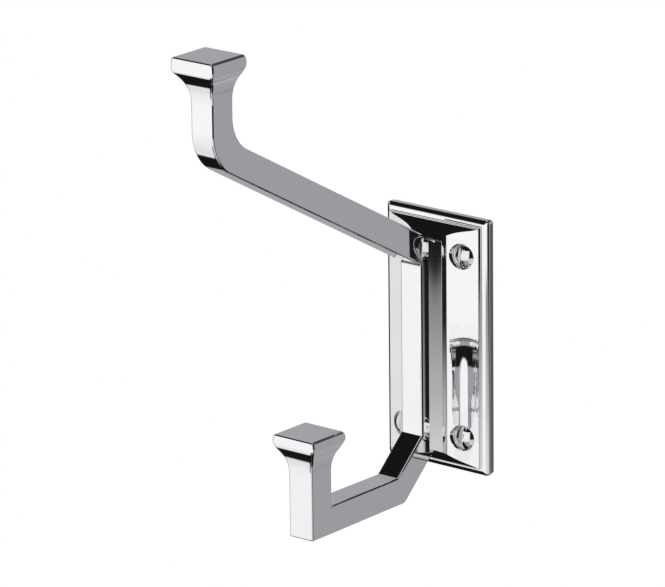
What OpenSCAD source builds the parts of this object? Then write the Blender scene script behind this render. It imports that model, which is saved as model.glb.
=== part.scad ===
// Hat and coat hook: a rectangular wall plate with coved panels and a raised pad, a square-section
// hook casting with a long upper arm and a short lower hook, each ended by a square cap, two machine
// screws that hold the casting from behind, and four raised-head slotted wood screws.
// Frame: X right along the wall, -Y out of the wall, Z up, origin in the middle of the plate's back face.
// Every "reach" or "face" value below is a distance out from the wall.

/* [Back plate] */
// Width of the plate
plate_w = 37.9; // [34:0.1:46]
// Height of the plate
plate_h = 78.8; // [76:0.1:96]
// Radius of the plate's four upright corners
plate_corner_r = 1.2; // [0.5:0.1:2]
// Face of the plate at its outer edge, where the sloped rim begins
edge_face = 2.6; // [2.2:0.05:2.9]
// Width of the sloped rim that runs round the plate
slope_w = 1.3; // [1:0.05:1.6]
// Face of the flat ledge between the sloped rim and the first step
ledge_face = 3.45; // [3.2:0.05:3.8]
// From the plate's outer edge to the wall of the first step
border_w = 2.3; // [2.1:0.05:2.6]
// Face of the panel at its outer edge
panel_face = 4.7; // [4.4:0.05:5]
// Rounding of the plate's outer edge
plate_edge_r = 0.5; // [0.1:0.05:0.6]
// Rounding of the edges of the ledge and the first step
step_edge_r = 0.3; // [0.1:0.05:0.4]
// Radius in the foot of the first step
step_foot_r = 0.2; // [0.1:0.05:0.3]
// Slope across each coved panel next to the pad, in degrees
cove_angle = 21.6; // [18:0.2:28]
// Slope across each panel where it is flattest, in degrees
cove_flat_angle = 10; // [8:0.1:14]
// From the plate's middle to the flattest line of each panel
cove_turn = 12.6; // [11:0.1:14]
// Radius in the foot of the pad's long walls
pad_foot_r = 0.4; // [0.1:0.05:0.6]
// Width of the raised pad
pad_w = 13; // [11:0.1:15]
// Height of the raised pad, which both hook arms spring from
pad_h = 65.2; // [64:0.1:68]
// Face of the raised pad
pad_face = 9; // [8.5:0.05:10]
// Length of the slope at the plate's top and bottom, from the panel's edge to the pad's end
end_run = 3.1; // [2.6:0.1:3.4]
// Face of that slope where it meets the pad's end
end_face = 7.05; // [6.9:0.05:7.6]
// Rounding of the pad's long edges
pad_edge_r = 0.25; // [0.1:0.05:0.5]

/* [Post and upper arm] */
// Width of the post and the upper arm
bar_w = 8; // [7:0.1:9]
// Face of the post's flat front
post_face = 15.55; // [15:0.05:18]
// Rise of the upper arm above level, in degrees
arm_rise = 28.8; // [25:0.1:32]
// Thickness of the upper arm, measured square to it
arm_t = 8.65; // [8:0.05:9.5]
// Reach of the upper upright's inner face
upper_inner = 99.4; // [90:0.1:110]
// Depth of the upper upright from its inner to its outer face
upper_depth = 9.1; // [8.5:0.1:10]
// Radius in the inner bend
bend_inner_r = 12; // [8:0.5:14]
// Radius round the outer bend
bend_outer_r = 14.5; // [10:0.5:18]

/* [Upper cap] */
// Width and depth of each square cap
cap_w = 15; // [14:0.1:18]
// Height of each cap's upright band
cap_band = 4.4; // [3:0.1:5]
// Reach of the upper cap's middle
upper_cap_reach = 105.15; // [105:0.05:105.3]
// Height of the upper cap's top above the plate's middle
upper_top = 107.9; // [107:0.1:112]
// Height of the flare under the upper cap
upper_flare = 9.8; // [8:0.1:11]

/* [Lower hook] */
// Fall of the sloping run below level, in degrees
drop_angle = 42; // [40:0.5:44]
// Thickness of the sloping run, measured square to it
drop_t = 8.4; // [8:0.05:8.8]
// Height of the bend between post and sloping run, below the plate's middle
drop_start = 26.35; // [26:0.05:27]
// Top of the level run, below the plate's middle
level_top = 36.5; // [36:0.1:37.5]
// Thickness of the level run
level_t = 8.5; // [8:0.1:9]
// Radius round the outer bend under the sloping run
level_bend_r = 2.2; // [1:0.1:3]
// Reach of the lower upright's inner face
lower_inner = 58.2; // [54:0.1:62]
// Depth of the lower upright from its inner to its outer face
lower_depth = 9.3; // [9:0.1:10]
// Width of the lower upright
lower_w = 8.7; // [8.2:0.1:9.5]
// Reach of the lower cap's middle
lower_cap_reach = 63.3; // [63:0.05:63.5]
// Lower cap's top, below the plate's middle
lower_top = 13.46; // [10:0.1:14]
// Height of the flare under the lower cap
lower_flare = 7; // [6:0.1:8]

/* [Wood screws] */
// From the plate's side to a wood screw's middle
screw_inset_x = 7.65; // [7.5:0.05:7.9]
// From the plate's top or bottom to a wood screw's middle
screw_inset_z = 11.4; // [10.5:0.1:12]
// Diameter of the raised countersunk head
head_d = 8; // [7.8:0.05:8.1]
// Face of the head's rim
head_face = 5.1; // [5:0.05:5.2]
// Height of the head's rim land
head_land = 0.3; // [0.2:0.05:0.4]
// Height of the dome above the rim
dome_h = 1.3; // [1:0.1:1.6]
// Diameter of the shank inside the plate
shank_d = 4.2; // [4.2:0.05:4.4]
// Outside diameter of the thread, and of the plain run ahead of it
thread_d = 3.8; // [3.6:0.05:3.8]
// Length of the plain run behind the plate
plain_run = 1.6; // [1.2:0.1:2]
// Core diameter of the thread
core_d = 3; // [2.6:0.1:3.2]
// Spacing of the thread's ridges
thread_pitch = 1.8; // [1.6:0.1:2]
// Number of ridges before the point
thread_ridges = 2; // [1:1:2]
// Length from the head's rim to the point
screw_len = 12.7; // [12:0.1:20]
// Width of the head's slot
slot_w = 1.1; // [0.8:0.1:1.4]
// Depth of the slot below the dome's top
slot_depth = 1.5; // [1:0.1:1.8]

/* [Hook screws behind] */
// Distance of each machine screw from the plate's middle
hook_screw_z = 18; // [14:0.5:20]
// Outside diameter of the machine screw's thread
machine_d = 4; // [3:0.5:4]
// Core diameter of the machine screw's thread
machine_core_d = 3.2; // [2.6:0.1:3.3]
// Spacing of its thread's ridges
machine_pitch = 0.7; // [0.5:0.1:1]
// Length under its head
machine_len = 10; // [9:0.5:10]
// Diameter of its head
machine_head_d = 7; // [6.6:0.1:7.2]
// Height of its head
machine_head_h = 2.6; // [2:0.1:2.8]
// Depth of the pocket for its head in the plate's back
pocket_depth = 3.6; // [3.4:0.1:4]

/* [Fits] */
// Gap all round a screw in its plain hole
hole_clearance = 0.25; // [0.1:0.05:0.4]
// Gap all round a machine screw in its tapped hole
thread_clearance = 0.05; // [0.02:0.01:0.1]
// Gap all round a screw's head in its pocket
head_clearance = 0.15; // [0.1:0.05:0.3]
// Gap past the end of a machine screw
end_clearance = 0.6; // [0.3:0.1:0.8]

/* [Hidden] */
// Overrun that carries every cut clear through its face
cut_over = 1;
// Straight pieces in each drawn arc
arc_steps = 12;
// Straight pieces in each small rounding
round_steps = 4;
quarter = 90;
half_turn = 180;

half_w = plate_w / 2;
half_h = plate_h / 2;
half_bar = bar_w / 2;
half_cap = cap_w / 2;
upper_outer = upper_inner + upper_depth;
lower_outer = lower_inner + lower_depth;
level_bottom = -level_top - level_t;
arm_root = pad_h / 2;
machine_hole_end = pocket_depth + machine_len + end_clearance;
cone_h = (head_d - shank_d) / 2;
screw_x = half_w - screw_inset_x;
screw_z = half_h - screw_inset_z;
countersink_d = head_d + 2 * head_clearance;
clear_d = shank_d + 2 * hole_clearance;
dome_r = (head_d * head_d / 4 + dome_h * dome_h) / (2 * dome_h);
$fn = 96;

// Points of an arc about c from angle a0 to angle a1
function arc(c, r, a0, a1, steps) =
    [for (i = [0:steps]) c + r * [cos(a0 + (a1 - a0) * i / steps), sin(a0 + (a1 - a0) * i / steps)]];

// A half outline and its mirror image across the first coordinate's zero
function both_sides(points) =
    concat(points, [for (i = [len(points) - 1:-1:0]) [-points[i][0], points[i][1]]]);

// A half outline and its mirror image across the second coordinate's zero
function above_and_below(points) =
    concat(points, [for (i = [len(points) - 1:-1:0]) [points[i][0], -points[i][1]]]);

// Points with their two coordinates exchanged
function swapped(points) = [for (p = points) [p[1], p[0]]];

// Points in the opposite order
function reversed(points) = [for (i = [len(points) - 1:-1:0]) points[i]];

// A concave curve that leaves the face at a straight up at height low and ends at b and height high
function flare(a, b, low, high) =
    let (
        side = b > a ? 1 : -1,
        out = abs(b - a),
        rise = high - low,
        r = (rise * rise + out * out) / (2 * out),
        turn = asin(rise / r)
    )
    [for (i = [0:arc_steps])
        [a + side * r * (1 - cos(turn * i / arc_steps)), low + r * sin(turn * i / arc_steps)]];

// Side, sloped rim, ledge and first step of the plate, from the back face to the panel's outer edge
function rim_outline(half) =
    let (
        lean = atan((ledge_face - edge_face) / slope_w),
        drop = plate_edge_r * tan((quarter - lean) / 2),
        soft = step_edge_r * tan(lean / 2)
    )
    concat(
        [[half, 0]],
        arc([half - plate_edge_r, edge_face - drop], plate_edge_r, 0, quarter - lean, round_steps),
        arc([half - slope_w - soft, ledge_face - step_edge_r], step_edge_r,
            quarter - lean, quarter, round_steps),
        arc([half - border_w + step_foot_r, ledge_face + step_foot_r], step_foot_r,
            3 * quarter, half_turn, round_steps),
        arc([half - border_w - step_edge_r, panel_face - step_edge_r], step_edge_r,
            0, quarter, round_steps));

panel_edge = half_w - border_w - step_edge_r;
panel_foot = pad_w / 2 + pad_foot_r * (1 - sin(cove_angle));
cove_flat = tan(cove_flat_angle);
cove_bend = (tan(cove_angle) - cove_flat) / pow(cove_turn - panel_foot, 2);

// Face of a panel at a place across it: flattest at cove_turn, steeper to both sides
function panel_at(x) =
    panel_face + cove_flat * (panel_edge - x)
    + cove_bend / 3 * (pow(panel_edge - cove_turn, 3) - pow(x - cove_turn, 3));

// Half of the plate's section across its width: sideways place, distance from the wall
plate_section =
    concat(
        rim_outline(half_w),
        [for (i = [1:arc_steps - 1])
            let (x = panel_edge + (panel_foot - panel_edge) * i / arc_steps)
            [x, panel_at(x)]],
        arc([pad_w / 2 + pad_foot_r, panel_at(panel_foot) + pad_foot_r * cos(cove_angle)],
            pad_foot_r, 3 * quarter - cove_angle, half_turn, round_steps),
        arc([pad_w / 2 - pad_edge_r, pad_face - pad_edge_r], pad_edge_r, 0, quarter, round_steps));

// Half of the plate's section down its height: upright place, distance from the wall
panel_end = half_h - border_w - step_edge_r;
plate_profile =
    concat(
        rim_outline(half_h),
        [[panel_end - end_run, end_face], [pad_h / 2, pad_face]]);

// Height of the upper arm's top line at a reach from the wall
function arm_top(reach) = arm_root + (reach - pad_face) * tan(arm_rise);
// Height of its under line
function arm_under(reach) = arm_top(reach) - arm_t / cos(arm_rise);
// Middle of an arc that touches a slanted line and an upright face
function bend_middle(face, r, line_height) = [face - r, line_height + r / cos(arm_rise)];

// Side outline of post, upper arm, upright and cap: reach from the wall, height
upper_outline =
    concat(
        [[pad_face, arm_root]],
        arc(bend_middle(upper_inner, bend_inner_r, arm_top(upper_inner - bend_inner_r)),
            bend_inner_r, arm_rise - quarter, 0, arc_steps),
        flare(upper_inner, upper_cap_reach - half_cap,
              upper_top - cap_band - upper_flare, upper_top - cap_band),
        [[upper_cap_reach - half_cap, upper_top], [upper_cap_reach + half_cap, upper_top]],
        reversed(flare(upper_outer, upper_cap_reach + half_cap,
                       upper_top - cap_band - upper_flare, upper_top - cap_band)),
        arc(bend_middle(upper_outer, bend_outer_r, arm_under(upper_outer - bend_outer_r)),
            bend_outer_r, 0, arm_rise - quarter, arc_steps),
        [[post_face, arm_under(post_face)],
         [post_face, -drop_start],
         [pad_face, -drop_start]]);

// Front outline of the upper arm and cap: sideways place, height
upper_front =
    both_sides(concat(
        [[half_bar, -drop_start - cut_over]],
        flare(half_bar, half_cap, upper_top - cap_band - upper_flare, upper_top - cap_band),
        [[half_cap, upper_top + cut_over]]));

// Height of the sloping run's top line at a reach from the wall
function drop_top(reach) = -drop_start - (reach - post_face) * tan(drop_angle);
// Height of its under line
function drop_under(reach) = drop_top(reach) - drop_t / cos(drop_angle);
elbow_reach = post_face + (level_top - drop_start) / tan(drop_angle);
heel_reach = post_face + (-drop_start - drop_t / cos(drop_angle) - level_bottom) / tan(drop_angle);
heel_middle = [heel_reach + level_bend_r * tan(drop_angle / 2), level_bottom + level_bend_r];
throat_reach = (post_face + pad_face) / 2;

// Side outline of the sloping and level runs: reach from the wall, height
lower_run =
    concat(
        [[pad_face, -drop_start + cut_over],
         [post_face, -drop_start + cut_over],
         [post_face, -drop_start],
         [elbow_reach, -level_top],
         [lower_inner + cut_over, -level_top],
         [lower_inner + cut_over, level_bottom]],
        arc(heel_middle, level_bend_r, 3 * quarter, 3 * quarter - drop_angle, round_steps),
        [[throat_reach, drop_under(throat_reach)],
         [pad_face, -arm_root]]);

// Plan of the same runs, which widen towards the upright: sideways place, reach from the wall
lower_run_plan =
    both_sides([[half_bar, 0], [half_bar, elbow_reach], [lower_w / 2, lower_inner + cut_over]]);

// Side outline of the lower upright and cap
lower_outline =
    concat(
        [[lower_inner, level_bottom]],
        flare(lower_inner, lower_cap_reach - half_cap,
              -lower_top - cap_band - lower_flare, -lower_top - cap_band),
        [[lower_cap_reach - half_cap, -lower_top], [lower_cap_reach + half_cap, -lower_top]],
        reversed(flare(lower_outer, lower_cap_reach + half_cap,
                       -lower_top - cap_band - lower_flare, -lower_top - cap_band)),
        [[lower_outer, level_bottom]]);

// Front outline of the lower upright and cap
lower_front =
    both_sides(concat(
        [[lower_w / 2, level_bottom - cut_over]],
        flare(lower_w / 2, half_cap, -lower_top - cap_band - lower_flare, -lower_top - cap_band),
        [[half_cap, -lower_top + cut_over]]));

// Stretches an outline of reach and height sideways over a width
module sideways(points, w) {
    rotate([quarter, 0, -quarter])
        linear_extrude(height = w, center = true)
            polygon(points);
}

// Stretches an outline of sideways place and height out from the wall over a depth
module outwards(points, depth) {
    rotate([quarter, 0, 0])
        linear_extrude(height = depth)
            polygon(points);
}

// Turns a shape drawn up the Z axis so that it points out of the wall at a place on the plate
module facing_out(x, z) {
    translate([x, 0, z])
        rotate([quarter, 0, 0])
            children();
}

module rounded_plate_outline() {
    square([plate_w - 2 * plate_corner_r, plate_h], center = true);
    square([plate_w, plate_h - 2 * plate_corner_r], center = true);
    for (x = [-1, 1], z = [-1, 1]) {
        translate([x * (half_w - plate_corner_r), z * (half_h - plate_corner_r)])
            circle(r = plate_corner_r);
    }
}

// Countersunk hole for one wood screw, up the Z axis from the wall
module wood_screw_hole() {
    rim = head_face - head_land;
    translate([0, 0, -cut_over])
        cylinder(d = clear_d, h = rim + cut_over);
    translate([0, 0, rim - cone_h])
        cylinder(d1 = shank_d, d2 = head_d, h = cone_h);
    translate([0, 0, rim])
        cylinder(d1 = head_d, d2 = countersink_d, h = head_clearance);
    translate([0, 0, rim + head_clearance])
        cylinder(d = countersink_d, h = pad_face);
}

// Plain hole and head pocket for one machine screw, up the Z axis from the wall
module machine_screw_hole() {
    translate([0, 0, -cut_over])
        cylinder(d = machine_head_d + 2 * head_clearance, h = pocket_depth + cut_over);
    cylinder(d = machine_d + 2 * hole_clearance, h = pad_face + cut_over);
}

module backplate() {
    color([0.78, 0.79, 0.8])
    difference() {
        intersection() {
            mirror([0, 1, 0])
                linear_extrude(height = plate_h, center = true)
                    polygon(both_sides(plate_section));
            sideways(above_and_below(swapped(plate_profile)), plate_w);
            rotate([quarter, 0, 0])
                linear_extrude(height = pad_face)
                    rounded_plate_outline();
        }
        for (x = [-1, 1], z = [-1, 1]) {
            facing_out(x * screw_x, z * screw_z)
                wood_screw_hole();
        }
        for (z = [-1, 1]) {
            facing_out(0, z * hook_screw_z)
                machine_screw_hole();
        }
    }
}

module hook_body() {
    color([0.8, 0.81, 0.82])
    difference() {
        union() {
            intersection() {
                sideways(upper_outline, cap_w);
                outwards(upper_front, upper_cap_reach + cap_w);
            }
            intersection() {
                sideways(lower_run, cap_w);
                mirror([0, 1, 0])
                    linear_extrude(height = plate_h * 2, center = true)
                        polygon(lower_run_plan);
            }
            intersection() {
                sideways(lower_outline, cap_w);
                outwards(lower_front, lower_cap_reach + cap_w);
            }
        }
        for (z = [-1, 1]) {
            facing_out(0, z * hook_screw_z)
                cylinder(d = machine_d + 2 * thread_clearance, h = machine_hole_end);
        }
    }
}

// Ridged outline of a thread: distance from the axis, distance along it
function ridges(core, outside, pitch, count) =
    [for (i = [0:count - 1], side = [0, 1])
        [side == 0 ? core / 2 : outside / 2, (i + side / 2) * pitch]];

// One wood screw up the Z axis, its head at the top
module wood_screw() {
    rim = head_face - head_land;
    thread_end = -plain_run - thread_ridges * thread_pitch;
    difference() {
        union() {
            intersection() {
                translate([0, 0, head_face + dome_h - dome_r])
                    sphere(r = dome_r);
                translate([0, 0, rim])
                    cylinder(d = head_d, h = dome_h + 2 * head_land);
            }
            translate([0, 0, rim - cone_h])
                cylinder(d1 = shank_d, d2 = head_d, h = cone_h);
            cylinder(d = shank_d, h = rim - cone_h);
            translate([0, 0, -plain_run])
                cylinder(d = thread_d, h = plain_run);
            rotate_extrude()
                polygon(concat(
                    [[0, head_face - screw_len], [core_d / 2, thread_end]],
                    [for (p = ridges(core_d, thread_d, thread_pitch, thread_ridges))
                        [p[0], thread_end + p[1]]],
                    [[core_d / 2, -plain_run], [0, -plain_run]]));
        }
        translate([-slot_w / 2, -head_d, head_face + dome_h - slot_depth])
            cube([slot_w, 2 * head_d, slot_depth + cut_over]);
    }
}

module hook_screw(z) {
    color([0.72, 0.72, 0.7])
    facing_out(0, z)
        difference() {
            union() {
                translate([0, 0, pocket_depth - machine_head_h])
                    cylinder(d = machine_head_d, h = machine_head_h);
                translate([0, 0, pocket_depth])
                    rotate_extrude()
                        polygon(concat(
                            [[0, 0]],
                            ridges(machine_core_d, machine_d, machine_pitch,
                                   floor(machine_len / machine_pitch)),
                            [[machine_core_d / 2, machine_len], [0, machine_len]]));
            }
            translate([-slot_w / 2, -machine_head_d, pocket_depth - machine_head_h - cut_over])
                cube([slot_w, 2 * machine_head_d, slot_depth / 2 + cut_over]);
        }
}

module placed_wood_screw(x, z) {
    color([0.76, 0.77, 0.78])
    facing_out(x * screw_x, z * screw_z)
        wood_screw();
}

module hook_screw_upper() {
    hook_screw(hook_screw_z);
}

module hook_screw_lower() {
    hook_screw(-hook_screw_z);
}

module wood_screw_top_left() {
    placed_wood_screw(-1, 1);
}

module wood_screw_top_right() {
    placed_wood_screw(1, 1);
}

module wood_screw_bottom_left() {
    placed_wood_screw(-1, -1);
}

module wood_screw_bottom_right() {
    placed_wood_screw(1, -1);
}

backplate();
hook_body();
hook_screw_upper();
hook_screw_lower();
wood_screw_top_left();
wood_screw_top_right();
wood_screw_bottom_left();
wood_screw_bottom_right();
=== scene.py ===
import math

import bmesh
import bpy
from mathutils import Matrix, Vector


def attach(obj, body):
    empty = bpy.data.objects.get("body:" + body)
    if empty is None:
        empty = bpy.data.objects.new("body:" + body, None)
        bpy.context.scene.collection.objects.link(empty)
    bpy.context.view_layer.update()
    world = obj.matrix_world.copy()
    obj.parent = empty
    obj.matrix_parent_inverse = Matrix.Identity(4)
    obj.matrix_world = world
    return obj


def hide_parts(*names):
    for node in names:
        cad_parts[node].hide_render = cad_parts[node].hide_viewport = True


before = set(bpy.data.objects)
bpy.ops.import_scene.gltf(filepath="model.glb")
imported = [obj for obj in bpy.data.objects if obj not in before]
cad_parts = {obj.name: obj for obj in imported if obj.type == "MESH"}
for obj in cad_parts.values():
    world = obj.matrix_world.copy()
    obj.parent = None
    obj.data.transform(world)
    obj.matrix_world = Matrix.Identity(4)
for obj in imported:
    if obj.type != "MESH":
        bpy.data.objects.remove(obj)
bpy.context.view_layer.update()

# Lengths below are in millimetres. A "reach" is a distance out from the wall, which is -Y.
MM = 0.001

# The wall plate
PLATE_W = 37.9
PLATE_H = 78.8
PLATE_CORNER_R = 1.2
EDGE_FACE = 2.5
SLOPE_W = 1.65
SLOPE_CROWN = math.radians(4)
LEDGE_FACE = 3.6
BORDER_W = 2.3
PANEL_FACE = 4.7
PLATE_EDGE_R = 0.6
SIDE_LEAN = 0.3
SIDE_KNEE_SHARES = (0.35, 0.3)
STEP_EDGE_R = 0.3
STEP_FOOT_R = 0.2
COVE_ANGLE = math.radians(21.6)
COVE_FLAT_ANGLE = math.radians(9.8)
COVE_TURN = 12.6
PAD_FOOT_R = 0.4
PAD_W = 13.0
PAD_H = 65.2
PAD_FACE = 9.0
END_RUN = 3.1
END_FACE = 7.05
PLATE_SOFT_R = 0.18
PLATE_SOFT_ANGLE = 24
PLATE_SHARP = math.radians(38)

# The casting's post, upper arm and upper upright
BAR_W = 8.0
POST_FACE = 15.55
ARM_RISE = math.radians(28.8)
ARM_T = 8.65
UPPER_INNER = 99.4
UPPER_OUTER = 108.5
BEND_INNER_R = 12.0
BEND_OUTER_R = 14.5

# The caps and the flares under them
CAP_W = 15.0
CAP_BAND = 4.4
BAND_SWELL = 0.35
SWELL_POWER = 0.9
TOP_LEAN = 0.1
TOP_MARGIN = 1.15
FLARE_POWER = 2.5
CREASE_BELOW = 0.8
CREASE_ABOVE = 1.6
UPPER_CREASE_W = 0.7
LOWER_CREASE_W = 1.1
LOWER_CREASE_LIFT = 0.7
LOWER_FLARE_MORE = 2.2
UPPER_CAP_REACH = 105.15
UPPER_TOP = 107.9
UPPER_FLARE = 9.8

# The casting's lower hook
DROP_ANGLE = math.radians(42.0)
DROP_T = 8.4
DROP_START = 26.35
LEVEL_TOP = 36.5
LEVEL_T = 8.5
LEVEL_BEND_R = 2.2
LOWER_INNER = 58.2
LOWER_OUTER = 67.5
LOWER_W = 8.7
LOWER_CAP_REACH = 63.3
LOWER_TOP = -13.46
LOWER_FLARE = 7.0

# The rounding of the casting's edges
CAP_EDGE_R = 0.8
BAR_EDGE_R = 0.7
UPPER_ZONE = 90.0
SEAT_MARGIN = 0.1
ROUNDED_FROM = math.radians(50)
HOOK_SHARP = math.radians(32)

# The wood screws
SCREW_X = 11.3
SCREW_Z = 28.0
HEAD_D = 7.8
HEAD_FACE = 4.75
HEAD_LAND = 0.3
DOME_TILT = math.radians(52)
DOME_H = 1.98
DOME_RISE = -math.log(math.cos(DOME_TILT)) / DOME_TILT
SHANK_D = 4.2
THREAD_D = 3.8
PLAIN_RUN = 1.6
CORE_D = 3.0
THREAD_PITCH = 1.8
THREAD_RIDGES = 2
SCREW_LEN = 12.35
SLOT_W = 1.1
SLOT_DEPTH = 1.5
SCREW_SOFT_R = 0.1
SCREW_SOFT_ANGLE = 30
HEAD_CLEARANCE = 0.05
SHANK_CLEARANCE = 0.25
CUT_MARGIN = 1.0

# How finely curves are divided
ARC_STEPS = 28
FLARE_STEPS = 20
BAND_STEPS = 3
SLOPE_STEPS = 9
DOME_STEPS = 24
LATHE_STEPS = 96
ROUND_STEPS = 6

# The camera, solved from the straight edges of the object in the photograph
CAMERA_AZ = math.radians(39.361)
CAMERA_EL = math.radians(16.881)
CAMERA_ROLL = math.radians(-0.627)
CAMERA_AIM = (0, -40, 10)
CAMERA_DISTANCE = 1736.909
CAMERA_LEFT = 7.596
CAMERA_RAISE = 12.386
FOCAL_PX = 5968.847
PHOTO_W_PX = 665
SENSOR_W = 36.0

# The studio dome
DOME_R = 3.0
DOME_COLUMNS = 240
WHITE = 0.995


# Small helpers for outlines

def arc(cx, cy, r, start, end, steps):
    points = []
    for i in range(steps + 1):
        a = start + (end - start) * i / steps
        points.append((cx + r * math.cos(a), cy + r * math.sin(a)))
    return points


def spread(low, high, steps):
    """Even steps from low to high, both ends included."""
    return [low + (high - low) * i / steps for i in range(steps + 1)]


def grow(low, high, value):
    """0 below low, 1 above high, and a soft ramp between them."""
    t = min(max((value - low) / (high - low), 0), 1)
    return t * t * (3 - 2 * t)


def place(x, reach, z):
    return Vector((x * MM, -reach * MM, z * MM))


def mesh_object(name, verts, faces):
    mesh = bpy.data.meshes.new(name)
    mesh.from_pydata([tuple(v) for v in verts], [], faces)
    mesh.validate()
    mesh.update()
    obj = bpy.data.objects.new(name, mesh)
    bpy.context.scene.collection.objects.link(obj)
    return obj


def tidy_mesh(obj, merge=1e-7):
    """Joins doubled corners and turns every face outwards."""
    bm = bmesh.new()
    bm.from_mesh(obj.data)
    bmesh.ops.remove_doubles(bm, verts=bm.verts, dist=merge)
    bmesh.ops.recalc_face_normals(bm, faces=bm.faces)
    bm.to_mesh(obj.data)
    bm.free()
    obj.data.update()


def smooth(obj):
    obj.data.polygons.foreach_set("use_smooth", [True] * len(obj.data.polygons))
    obj.data.update()


def freeze(obj):
    """Replaces the mesh by what its modifiers make of it."""
    depsgraph = bpy.context.evaluated_depsgraph_get()
    mesh = bpy.data.meshes.new_from_object(obj.evaluated_get(depsgraph))
    obj.modifiers.clear()
    obj.data = mesh


def cut(obj, cutters):
    for cutter in cutters:
        m = obj.modifiers.new("cut", "BOOLEAN")
        m.operation = "DIFFERENCE"
        m.solver = "EXACT"
        m.object = cutter
    freeze(obj)
    for cutter in cutters:
        bpy.data.objects.remove(cutter)


def soften_edges(obj, width, segments, angle):
    m = obj.modifiers.new("edges", "BEVEL")
    m.width = width * MM
    m.segments = segments
    m.limit_method = "ANGLE"
    m.angle_limit = math.radians(angle)
    m.miter_outer = "MITER_ARC"
    m.use_clamp_overlap = True


def weigh_normals(obj):
    m = obj.modifiers.new("normals", "WEIGHTED_NORMAL")
    m.mode = "FACE_AREA"
    m.weight = 80
    m.keep_sharp = True


# Meshes

class Shell:
    """Corners and faces of one mesh, made symmetric across the middle plane."""

    def __init__(self):
        self.verts = []
        self.faces = []

    def corner(self, x, reach, z):
        self.verts.append(place(x, reach, z))
        return len(self.verts) - 1

    def face(self, points):
        self.faces.append([self.corner(*p) for p in points])

    def sides(self, outline):
        """A face on each side: outline of (half width, reach, z)."""
        self.face([(h, r, z) for h, r, z in outline])
        self.face([(-h, r, z) for h, r, z in reversed(outline)])

    def strip(self, line):
        """Faces from side to side along a line of (half width, reach, z)."""
        for a, b in zip(line, line[1:]):
            self.face([a, b, (-b[0], b[1], b[2]), (-a[0], a[1], a[2])])

    def box_stack(self, rows):
        """Upright faces through rows of (half width, inner reach, outer reach, z), closed on top."""
        for a, b in zip(rows, rows[1:]):
            for pick in (
                lambda row: [(row[0], row[1], row[3]), (row[0], row[2], row[3])],
                lambda row: [(row[0], row[2], row[3]), (-row[0], row[2], row[3])],
                lambda row: [(-row[0], row[2], row[3]), (-row[0], row[1], row[3])],
                lambda row: [(-row[0], row[1], row[3]), (row[0], row[1], row[3])],
            ):
                self.face(pick(a) + pick(b)[::-1])
        h, inner, outer, z = rows[-1]
        self.face([(h, inner, z), (h, outer, z), (-h, outer, z), (-h, inner, z)])


def arm_top(reach):
    return PAD_H / 2 + (reach - PAD_FACE) * math.tan(ARM_RISE)


def arm_under(reach):
    return arm_top(reach) - ARM_T / math.cos(ARM_RISE)


def blend_min(a, b, width):
    """The smaller of two values, with a soft passage where they are close."""
    near = max(width - abs(a - b), 0) / width
    return min(a, b) - near * near * width / 4


def cap_rows(half, inner, outer, cap_reach, top, crease, rise, width):
    """Rows up a cap: a flare that quickens upwards, a rounding, and a slightly swelling band."""
    rows = []
    low = crease - CREASE_BELOW
    high = crease + CREASE_ABOVE
    heights = spread(crease - rise, low, FLARE_STEPS) + spread(low, high, FLARE_STEPS)[1:]
    heights += spread(high, top - TOP_MARGIN, BAND_STEPS)[1:] + [top]
    cap_half = CAP_W / 2
    for z in heights:
        out = max((z - crease + rise) / rise, 0) ** FLARE_POWER
        share = max(min((top - z) / (top - crease), 1), 0)
        lean = TOP_LEAN * (1 - share)
        swell = BAND_SWELL * math.sin(math.pi * share ** SWELL_POWER) - lean
        h = blend_min(half + (cap_half - half) * out, cap_half + swell, width)
        back = blend_min(-inner + (inner - cap_reach + cap_half) * out, cap_half - cap_reach + swell, width)
        front = blend_min(outer + (cap_reach + cap_half - outer) * out, cap_reach + cap_half - lean, width)
        rows.append((h, -back, front, z))
    return rows


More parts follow.
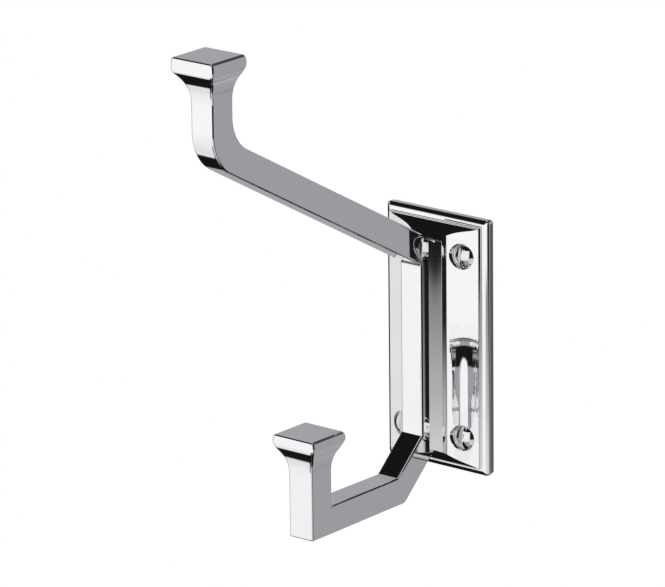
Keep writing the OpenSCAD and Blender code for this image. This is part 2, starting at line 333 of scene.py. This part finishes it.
def make_hook():
    shell = Shell()
    h = BAR_W / 2
    quarter = math.pi / 2
    inner_bend = arc(
        UPPER_INNER - BEND_INNER_R,
        arm_top(UPPER_INNER - BEND_INNER_R) + BEND_INNER_R / math.cos(ARM_RISE),
        BEND_INNER_R, ARM_RISE - quarter, 0, ARC_STEPS)
    outer_bend = arc(
        UPPER_OUTER - BEND_OUTER_R,
        arm_under(UPPER_OUTER - BEND_OUTER_R) + BEND_OUTER_R / math.cos(ARM_RISE),
        BEND_OUTER_R, 0, ARM_RISE - quarter, ARC_STEPS)
    upper_rows = cap_rows(h, UPPER_INNER, UPPER_OUTER, UPPER_CAP_REACH, UPPER_TOP,
                          UPPER_TOP - CAP_BAND, UPPER_FLARE, UPPER_CREASE_W)
    neck = upper_rows[0][3]

    def drop_top(reach):
        return -DROP_START - (reach - POST_FACE) * math.tan(DROP_ANGLE)

    def drop_under(reach):
        return drop_top(reach) - DROP_T / math.cos(DROP_ANGLE)

    bottom = -LEVEL_TOP - LEVEL_T
    elbow = POST_FACE + (LEVEL_TOP - DROP_START) / math.tan(DROP_ANGLE)
    heel = POST_FACE + (-DROP_START - DROP_T / math.cos(DROP_ANGLE) - bottom) / math.tan(DROP_ANGLE)
    heel_arc = arc(
        heel + LEVEL_BEND_R * math.tan(DROP_ANGLE / 2), bottom + LEVEL_BEND_R,
        LEVEL_BEND_R, 3 * quarter, 3 * quarter - DROP_ANGLE, ROUND_STEPS)
    throat = (POST_FACE + PAD_FACE) / 2

    top_line = [(PAD_FACE, PAD_H / 2)] + inner_bend + [(UPPER_INNER, neck)]
    under_line = [(UPPER_OUTER, neck)] + outer_bend + [
        (POST_FACE, arm_under(POST_FACE)), (POST_FACE, -DROP_START), (elbow, -LEVEL_TOP)]
    heel_line = [(elbow, bottom)] + heel_arc + [
        (throat, drop_under(throat)), (PAD_FACE, -PAD_H / 2)]
    shell.sides([(h, r, z) for r, z in top_line + under_line + heel_line])
    shell.strip([(h, r, z) for r, z in top_line])
    shell.strip([(h, r, z) for r, z in under_line])
    shell.strip([(h, r, z) for r, z in heel_line])
    shell.box_stack(upper_rows)

    w = LOWER_W / 2
    lower_rows = cap_rows(w, LOWER_INNER, LOWER_OUTER, LOWER_CAP_REACH, LOWER_TOP,
                          LOWER_TOP - CAP_BAND + LOWER_CREASE_LIFT, LOWER_FLARE + LOWER_FLARE_MORE,
                          LOWER_CREASE_W)
    neck = lower_rows[0][3]
    shell.sides([(h, elbow, -LEVEL_TOP), (w, LOWER_INNER, -LEVEL_TOP),
                 (w, LOWER_INNER, bottom), (h, elbow, bottom)])
    shell.sides([(w, LOWER_INNER, bottom), (w, LOWER_INNER, -LEVEL_TOP), (w, LOWER_INNER, neck),
                 (w, LOWER_OUTER, neck), (w, LOWER_OUTER, bottom)])
    shell.strip([(h, elbow, -LEVEL_TOP), (w, LOWER_INNER, -LEVEL_TOP), (w, LOWER_INNER, neck)])
    shell.strip([(w, LOWER_OUTER, neck), (w, LOWER_OUTER, bottom), (w, LOWER_INNER, bottom),
                 (h, elbow, bottom)])
    shell.box_stack(lower_rows)
    shell.face([(h, PAD_FACE, PAD_H / 2), (h, PAD_FACE, -PAD_H / 2),
                (-h, PAD_FACE, -PAD_H / 2), (-h, PAD_FACE, PAD_H / 2)])
    obj = mesh_object("hook_casting", shell.verts, shell.faces)
    tidy_mesh(obj)
    soften_hook(obj)
    freeze(obj)
    smooth(obj)
    obj.data.set_sharp_from_angle(angle=HOOK_SHARP)
    weigh_normals(obj)
    return obj


def soften_hook(obj):
    """Rounds the casting's sharp edges, a little less on the uprights than on the caps over them."""
    bm = bmesh.new()
    bm.from_mesh(obj.data)
    soft = bm.edges.layers.float.new("bevel_weight_edge")
    for edge in bm.edges:
        if len(edge.link_faces) != 2 or edge.calc_face_angle(0) < ROUNDED_FROM:
            continue
        middle = (edge.verts[0].co + edge.verts[1].co) / (2 * MM)
        if -middle.y < PAD_FACE + SEAT_MARGIN:
            continue
        if -middle.y > UPPER_ZONE:
            on_cap = grow(UPPER_TOP - CAP_BAND - UPPER_FLARE, UPPER_TOP - CAP_BAND, middle.z)
        else:
            on_cap = grow(LOWER_TOP - CAP_BAND - LOWER_FLARE, LOWER_TOP - CAP_BAND, middle.z)
        edge[soft] = (BAR_EDGE_R + (CAP_EDGE_R - BAR_EDGE_R) * on_cap) / CAP_EDGE_R
    bm.to_mesh(obj.data)
    bm.free()
    m = obj.modifiers.new("edges", "BEVEL")
    m.width = CAP_EDGE_R * MM
    m.segments = 5
    m.limit_method = "WEIGHT"
    m.miter_outer = "MITER_SHARP"
    m.use_clamp_overlap = False


def rim_line():
    """Inset from the plate's edge and face, from the back to the panel's outer edge."""
    quarter = math.pi / 2
    lean = math.atan((LEDGE_FACE - EDGE_FACE) / SLOPE_W)
    low = lean + SLOPE_CROWN
    high = lean - SLOPE_CROWN
    knee_in, knee_out = SIDE_KNEE_SHARES
    line = [(SIDE_LEAN, 0.0), (SIDE_LEAN * knee_in, EDGE_FACE * knee_out)]
    drop = PLATE_EDGE_R * math.tan((quarter - low) / 2)
    line += [(PLATE_EDGE_R - c, f) for c, f in
             arc(0, EDGE_FACE - drop, PLATE_EDGE_R, 0, quarter - low, ROUND_STEPS)]
    x0, f0 = line[-1]
    chord = math.hypot(SLOPE_W - x0, LEDGE_FACE - f0)
    turn = math.atan2(LEDGE_FACE - f0, SLOPE_W - x0)
    for k in range(1, SLOPE_STEPS):
        t = k / SLOPE_STEPS
        hump = chord * math.tan(SLOPE_CROWN / 2) * 2 * t * (1 - t)
        line.append((x0 + chord * t * math.cos(turn) - hump * math.sin(turn),
                     f0 + chord * t * math.sin(turn) + hump * math.cos(turn)))
    soft = STEP_EDGE_R * math.tan(high / 2)
    line += [(SLOPE_W + soft - c, f) for c, f in
             arc(0, LEDGE_FACE - STEP_EDGE_R, STEP_EDGE_R, quarter - high, quarter, ROUND_STEPS // 2)]
    foot = arc(0, LEDGE_FACE + STEP_FOOT_R, STEP_FOOT_R, 3 * quarter, 2 * quarter, ROUND_STEPS)
    line += [(BORDER_W - STEP_FOOT_R - c, f) for c, f in foot]
    line += [(BORDER_W + STEP_EDGE_R - c, f) for c, f in
             arc(0, PANEL_FACE - STEP_EDGE_R, STEP_EDGE_R, 0, quarter, ROUND_STEPS)]
    return line


def panel_line(edge):
    """Across a coved panel from its outer edge to the top of the pad's wall: place and face."""
    foot = PAD_W / 2 + PAD_FOOT_R * (1 - math.sin(COVE_ANGLE))
    flat = math.tan(COVE_FLAT_ANGLE)
    bend = (math.tan(COVE_ANGLE) - flat) / (COVE_TURN - foot) ** 2
    line = []
    for i in range(ARC_STEPS + 1):
        x = edge + (foot - edge) * i / ARC_STEPS
        steepening = bend / 3 * ((edge - COVE_TURN) ** 3 - (x - COVE_TURN) ** 3)
        face = PANEL_FACE + flat * (edge - x) + steepening
        line.append((x, face))
    quarter = math.pi / 2
    line += arc(PAD_W / 2 + PAD_FOOT_R, line[-1][1] + PAD_FOOT_R * math.cos(COVE_ANGLE), PAD_FOOT_R,
                3 * quarter - COVE_ANGLE, 2 * quarter, ROUND_STEPS)[1:]
    return line + [(PAD_W / 2, PAD_FACE)]


def rounded_ring(half_w, half_h, r, steps):
    """Corners of a rounded rectangle, in order."""
    quarter = math.pi / 2
    points = []
    for i, (sx, sz) in enumerate(((1, 1), (-1, 1), (-1, -1), (1, -1))):
        points += arc(sx * (half_w - r), sz * (half_h - r), r, i * quarter, (i + 1) * quarter, steps)
    return points


def crossing(line, face):
    """First coordinate of a rising line at a face."""
    for (u0, f0), (u1, f1) in zip(line, line[1:]):
        if f0 <= face <= f1:
            return u0 + (u1 - u0) * (face - f0) / max(f1 - f0, 1e-9)
    return line[-1][0]


def make_plate():
    """Rim rings, then a grid of corners shared by the coved panels, the end slopes and the pad."""
    verts = []
    faces = []
    rings = []
    for inset, face in rim_line():
        r = max(PLATE_CORNER_R - inset, 0)
        ring = rounded_ring(PLATE_W / 2 - inset, PLATE_H / 2 - inset, r, ROUND_STEPS)
        rings.append(list(range(len(verts), len(verts) + len(ring))))
        verts += [place(x, face, z) for x, z in ring]
    for a, b in zip(rings, rings[1:]):
        n = len(a)
        faces += [[a[i], a[(i + 1) % n], b[(i + 1) % n], b[i]] for i in range(n)]
    faces.append(rings[0][::-1])

    edge_x = PLATE_W / 2 - BORDER_W - STEP_EDGE_R
    edge_z = PLATE_H / 2 - BORDER_W - STEP_EDGE_R
    across = panel_line(edge_x)
    down = [(edge_z, PANEL_FACE), (edge_z - END_RUN, END_FACE), (PAD_H / 2, PAD_FACE)]
    levels = sorted({round(f, 6) for u, f in across + down})
    rows = [(crossing(across, f), f, crossing(down, f)) for f in levels]
    shell = Shell()
    for (x0, f0, z0), (x1, f1, z1) in zip(rows, rows[1:]):
        for s in (1, -1):
            shell.face([(s * x0, f0, z0), (s * x1, f1, z1), (s * x1, f1, -z1), (s * x0, f0, -z0)])
            shell.face([(x0, f0, s * z0), (x1, f1, s * z1), (-x1, f1, s * z1), (-x0, f0, s * z0)])
    x, f, z = rows[-1]
    shell.face([(x, f, z), (-x, f, z), (-x, f, -z), (x, f, -z)])
    offset = len(verts)
    verts += shell.verts
    faces += [[i + offset for i in face] for face in shell.faces]
    obj = mesh_object("wall_plate", verts, faces)
    tidy_mesh(obj, 1e-6)
    soften_edges(obj, PLATE_SOFT_R, 3, PLATE_SOFT_ANGLE)
    freeze(obj)
    pockets = []
    for sx in (1, -1):
        for sz in (1, -1):
            pockets.append(lathe("pocket", pocket_outline(), sx * SCREW_X, sz * SCREW_Z))
    cut(obj, pockets)
    smooth(obj)
    obj.data.set_sharp_from_angle(angle=PLATE_SHARP)
    weigh_normals(obj)
    return obj


def lathe(name, outline, x, z):
    """Turns an outline of (radius, reach) round an axis that points out of the wall."""
    verts = []
    faces = []
    rings = []
    for r, reach in outline:
        if r < 1e-6:
            rings.append([len(verts)])
            verts.append(place(x, reach, z))
            continue
        rings.append(list(range(len(verts), len(verts) + LATHE_STEPS)))
        for i in range(LATHE_STEPS):
            a = 2 * math.pi * i / LATHE_STEPS
            verts.append(place(x + r * math.cos(a), reach, z + r * math.sin(a)))
    for a, b in zip(rings, rings[1:]):
        for i in range(LATHE_STEPS):
            j = (i + 1) % LATHE_STEPS
            corners = [a[i % len(a)], a[j % len(a)], b[j % len(b)], b[i % len(b)]]
            faces.append(list(dict.fromkeys(corners)))
    obj = mesh_object(name, verts, faces)
    tidy_mesh(obj)
    return obj


def block(name, low, high):
    x0, f0, z0 = low
    x1, f1, z1 = high
    verts = [place(x, f, z) for x in (x0, x1) for f in (f0, f1) for z in (z0, z1)]
    faces = [(0, 1, 3, 2), (4, 6, 7, 5), (0, 4, 5, 1), (2, 3, 7, 6), (0, 2, 6, 4), (1, 5, 7, 3)]
    obj = mesh_object(name, verts, faces)
    tidy_mesh(obj)
    return obj


def pocket_outline():
    rim = HEAD_FACE - HEAD_LAND
    cone = (HEAD_D - SHANK_D) / 2
    wide = HEAD_D / 2 + HEAD_CLEARANCE
    hole = SHANK_D / 2 + SHANK_CLEARANCE
    low = -CUT_MARGIN
    high = PAD_FACE + CUT_MARGIN
    return [(0, low), (hole, low), (hole, rim - cone + SHANK_CLEARANCE), (wide, rim + HEAD_CLEARANCE),
            (wide, high), (0, high)]


def make_wood_screw(name, x, z):
    rim = HEAD_FACE - HEAD_LAND
    cone = (HEAD_D - SHANK_D) / 2
    thread_end = -PLAIN_RUN - THREAD_RIDGES * THREAD_PITCH
    outline = [(0, HEAD_FACE - SCREW_LEN), (CORE_D / 2, thread_end)]
    for i in range(THREAD_RIDGES):
        outline.append((THREAD_D / 2, thread_end + (i + 0.5) * THREAD_PITCH))
        outline.append((CORE_D / 2, thread_end + (i + 1) * THREAD_PITCH))
    outline += [(THREAD_D / 2, -PLAIN_RUN), (THREAD_D / 2, 0), (SHANK_D / 2, 0), (SHANK_D / 2, rim - cone),
                (HEAD_D / 2, rim), (HEAD_D / 2, HEAD_FACE)]
    for i in range(1, DOME_STEPS + 1):
        share = 1 - i / DOME_STEPS
        rise = math.log(math.cos(DOME_TILT * share) / math.cos(DOME_TILT)) / DOME_TILT
        outline.append((HEAD_D / 2 * share, HEAD_FACE + DOME_H * rise / DOME_RISE))
    obj = lathe(name, outline, x, z)
    top = HEAD_FACE + DOME_H
    slot = block("slot", (x - SLOT_W / 2, top - SLOT_DEPTH, z - HEAD_D),
                 (x + SLOT_W / 2, top + CUT_MARGIN, z + HEAD_D))
    cut(obj, [slot])
    soften_edges(obj, SCREW_SOFT_R, 2, SCREW_SOFT_ANGLE)
    smooth(obj)
    weigh_normals(obj)
    return obj


# Materials

CLOUD_TONE = 0.97
CLOUD_POLISH = 0.2


def metal(name, colour, roughness, scale):
    """Polished plating with a faint cloud in its colour and polish."""
    mat = bpy.data.materials.new(name)
    mat.use_nodes = True
    nodes = mat.node_tree.nodes
    links = mat.node_tree.links
    shader = nodes["Principled BSDF"]
    shader.inputs["Metallic"].default_value = 1.0
    coords = nodes.new("ShaderNodeTexCoord")
    cloud = nodes.new("ShaderNodeTexNoise")
    cloud.inputs["Scale"].default_value = scale
    cloud.inputs["Detail"].default_value = 4.0
    links.new(coords.outputs["Object"], cloud.inputs["Vector"])
    tone = nodes.new("ShaderNodeMix")
    tone.data_type = "RGBA"
    tone.inputs["A"].default_value = (*[c * CLOUD_TONE for c in colour], 1)
    tone.inputs["B"].default_value = (*colour, 1)
    links.new(cloud.outputs["Fac"], tone.inputs["Factor"])
    links.new(tone.outputs["Result"], shader.inputs["Base Color"])
    polish = nodes.new("ShaderNodeMapRange")
    polish.inputs["To Min"].default_value = roughness * (1 - CLOUD_POLISH)
    polish.inputs["To Max"].default_value = roughness * (1 + CLOUD_POLISH)
    links.new(cloud.outputs["Fac"], polish.inputs["Value"])
    links.new(polish.outputs["Result"], shader.inputs["Roughness"])
    return mat


def paint(obj, mat):
    obj.data.materials.clear()
    obj.data.materials.append(mat)


# Studio

def patch(az, el, azimuths, elevations, blur):
    """1 inside a range of azimuth and elevation, fading to 0 across its edge."""
    middle = (azimuths[0] + azimuths[1]) / 2
    off = abs((az - middle + 180) % 360 - 180)
    half = (azimuths[1] - azimuths[0]) / 2
    across = 1 - grow(half - blur, half + blur, off) if half < 180 else 1
    up = grow(elevations[0] - blur, elevations[0] + blur, el)
    down = 1 - grow(elevations[1] - blur, elevations[1] + blur, el)
    return across * up * down


# Tints of the panels
VIOLET = (1.0, 0.98, 1.05)
PLAIN = (1.0, 1.0, 1.0)
WARM = (1.0, 0.93, 0.86)

# Every entry is one soft-edged panel of the studio, in degrees: azimuths, elevations, blur, level, tint.
# Azimuth 0 is straight out of the wall and 90 is to the right. Later entries lie over earlier ones.
PANELS = [
    ((-180, 180), (-95, -18), 6, 0.93, PLAIN),
    ((-88, -50), (-50, 40), 8, 0.80, PLAIN),
    ((118, 248), (-60, 70), 5, 0.39, VIOLET),
    ((118, 166), (-60, 60), 6, 0.36, VIOLET),
    ((149, 172), (-30, -5), 5, 0.1, VIOLET),
    ((130, 212), (27, 60), 5, 0.06, WARM),
    ((-180, 180), (-95, -50), 1.6, 0.008, PLAIN),
    ((-120, -84), (-95, 40), 3, 0.015, PLAIN),
    ((-120, -71), (-95, -41), 3, 0.008, PLAIN),
    ((-176, -148), (-95, -34), 3, 0.01, PLAIN),
    ((35, 118), (-70, 60), 2, 0.012, WARM),
    ((-8, 34), (-95, -34), 3, 0.4, VIOLET),
    ((-38, -8), (-95, -34), 3, 0.01, PLAIN),
    ((-135, -119), (-22, 30), 2, 0.015, PLAIN),
    ((-112, 118), (34, 95), 1, 0.008, PLAIN),
    ((-25, 40), (62, 78), 3, 0.6, PLAIN),
    ((30, 60), (-60, -16.3), 0.3, 0.28, PLAIN),
    ((30, 60), (-60, -17.3), 0.8, 0.5, PLAIN),
    ((30, 60), (-60, -18.5), 0.6, 0.72, PLAIN),
    ((70, 92), (-60, -17.7), 0.8, 0.5, PLAIN),
]


# Rows of the dome as lowest elevation, step and count, closer together where flat faces look.
DOME_ROWS = ((-90, 1.5, 47), (-20, 0.2, 25), (-15, 1.5, 30), (30, 0.5, 20), (40, 2, 26))


def surround(az, el):
    colour = [1.0, 1.0, 1.0]
    for azimuths, elevations, blur, level, tint in PANELS:
        share = patch(az, el, azimuths, elevations, blur)
        colour = [c * (1 - share) + level * t * share for c, t in zip(colour, tint)]
    return colour


def make_studio():
    """A dome of panels round the object for its reflections. Behind the object it looks plain white."""
    world = bpy.data.worlds.new("studio")
    bpy.context.scene.world = world
    world.use_nodes = True
    world.node_tree.nodes["Background"].inputs["Color"].default_value = (1, 1, 1, 1)
    world.node_tree.nodes["Background"].inputs["Strength"].default_value = 1.0

    levels = []
    for low, step, count in DOME_ROWS:
        levels += [low + step * i for i in range(count)]
    up = len(levels) - 1
    verts = []
    colours = []
    for i in range(DOME_COLUMNS):
        az = -180 + 360 * i / DOME_COLUMNS
        for el in levels:
            a = math.radians(az)
            e = math.radians(el)
            verts.append((DOME_R * math.sin(a) * math.cos(e), -DOME_R * math.cos(a) * math.cos(e),
                          DOME_R * math.sin(e)))
            colours.append(surround(az, el))
    faces = []
    for i in range(DOME_COLUMNS):
        for j in range(up):
            a = i * (up + 1) + j
            b = ((i + 1) % DOME_COLUMNS) * (up + 1) + j
            corners = (a, b, b + 1, a + 1)
            if all(min(colours[k]) > WHITE for k in corners):
                continue
            faces.append(corners)
    obj = mesh_object("studio_panels", verts, faces)
    shade = obj.data.color_attributes.new("level", "FLOAT_COLOR", "POINT")
    for k, colour in enumerate(colours):
        shade.data[k].color = (*colour, 1)
    mat = bpy.data.materials.new("studio_panels")
    mat.use_nodes = True
    nodes = mat.node_tree.nodes
    links = mat.node_tree.links
    nodes.clear()
    out = nodes.new("ShaderNodeOutputMaterial")
    glow = nodes.new("ShaderNodeEmission")
    attribute = nodes.new("ShaderNodeAttribute")
    attribute.attribute_name = "level"
    path = nodes.new("ShaderNodeLightPath")
    choice = nodes.new("ShaderNodeMix")
    choice.data_type = "RGBA"
    choice.inputs["B"].default_value = (1, 1, 1, 1)
    links.new(path.outputs["Is Camera Ray"], choice.inputs["Factor"])
    links.new(attribute.outputs["Color"], choice.inputs["A"])
    links.new(choice.outputs["Result"], glow.inputs["Color"])
    links.new(glow.outputs["Emission"], out.inputs["Surface"])
    obj.data.materials.append(mat)


def make_camera():
    cam = bpy.data.cameras.new("camera")
    cam.sensor_fit = "HORIZONTAL"
    cam.sensor_width = SENSOR_W
    cam.lens = SENSOR_W * FOCAL_PX / PHOTO_W_PX
    cam.clip_start = 0.01
    cam.clip_end = 20.0
    az = CAMERA_AZ
    el = CAMERA_EL
    back = Vector((math.sin(az) * math.cos(el), -math.cos(az) * math.cos(el), math.sin(el)))
    level = Vector((math.cos(az), math.sin(az), 0))
    up = back.cross(level)
    right = level * math.cos(CAMERA_ROLL) + up * math.sin(CAMERA_ROLL)
    high = -level * math.sin(CAMERA_ROLL) + up * math.cos(CAMERA_ROLL)
    eye = Vector(CAMERA_AIM) + CAMERA_DISTANCE * back - CAMERA_LEFT * right + CAMERA_RAISE * high
    obj = bpy.data.objects.new("camera", cam)
    turn = Matrix((right, high, back)).transposed().to_4x4()
    obj.matrix_world = Matrix.Translation(eye * MM) @ turn
    bpy.context.scene.collection.objects.link(obj)
    bpy.context.scene.camera = obj


# The object, the studio and the camera

hook_chrome = metal("hook_chrome", (0.93, 0.93, 0.94), 0.03, 60)
plate_chrome = metal("plate_chrome", (0.94, 0.94, 0.95), 0.03, 60)
screw_chrome = metal("screw_chrome", (0.84, 0.84, 0.85), 0.05, 200)
zinc = metal("zinc", (0.68, 0.69, 0.70), 0.3, 400)

hook = make_hook()
paint(hook, hook_chrome)
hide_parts("hook_body")
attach(hook, "root")

plate = make_plate()
paint(plate, plate_chrome)
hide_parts("backplate")
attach(plate, "root")

for side, sx in (("left", -1), ("right", 1)):
    for end, sz in (("top", 1), ("bottom", -1)):
        screw = make_wood_screw(f"screw_{end}_{side}", sx * SCREW_X, sz * SCREW_Z)
        paint(screw, screw_chrome)
        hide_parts(f"wood_screw_{end}_{side}")
        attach(screw, "root")

for name in ("hook_screw_upper", "hook_screw_lower"):
    paint(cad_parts[name], zinc)

make_studio()
make_camera()
bpy.context.scene.view_settings.view_transform = "Standard"
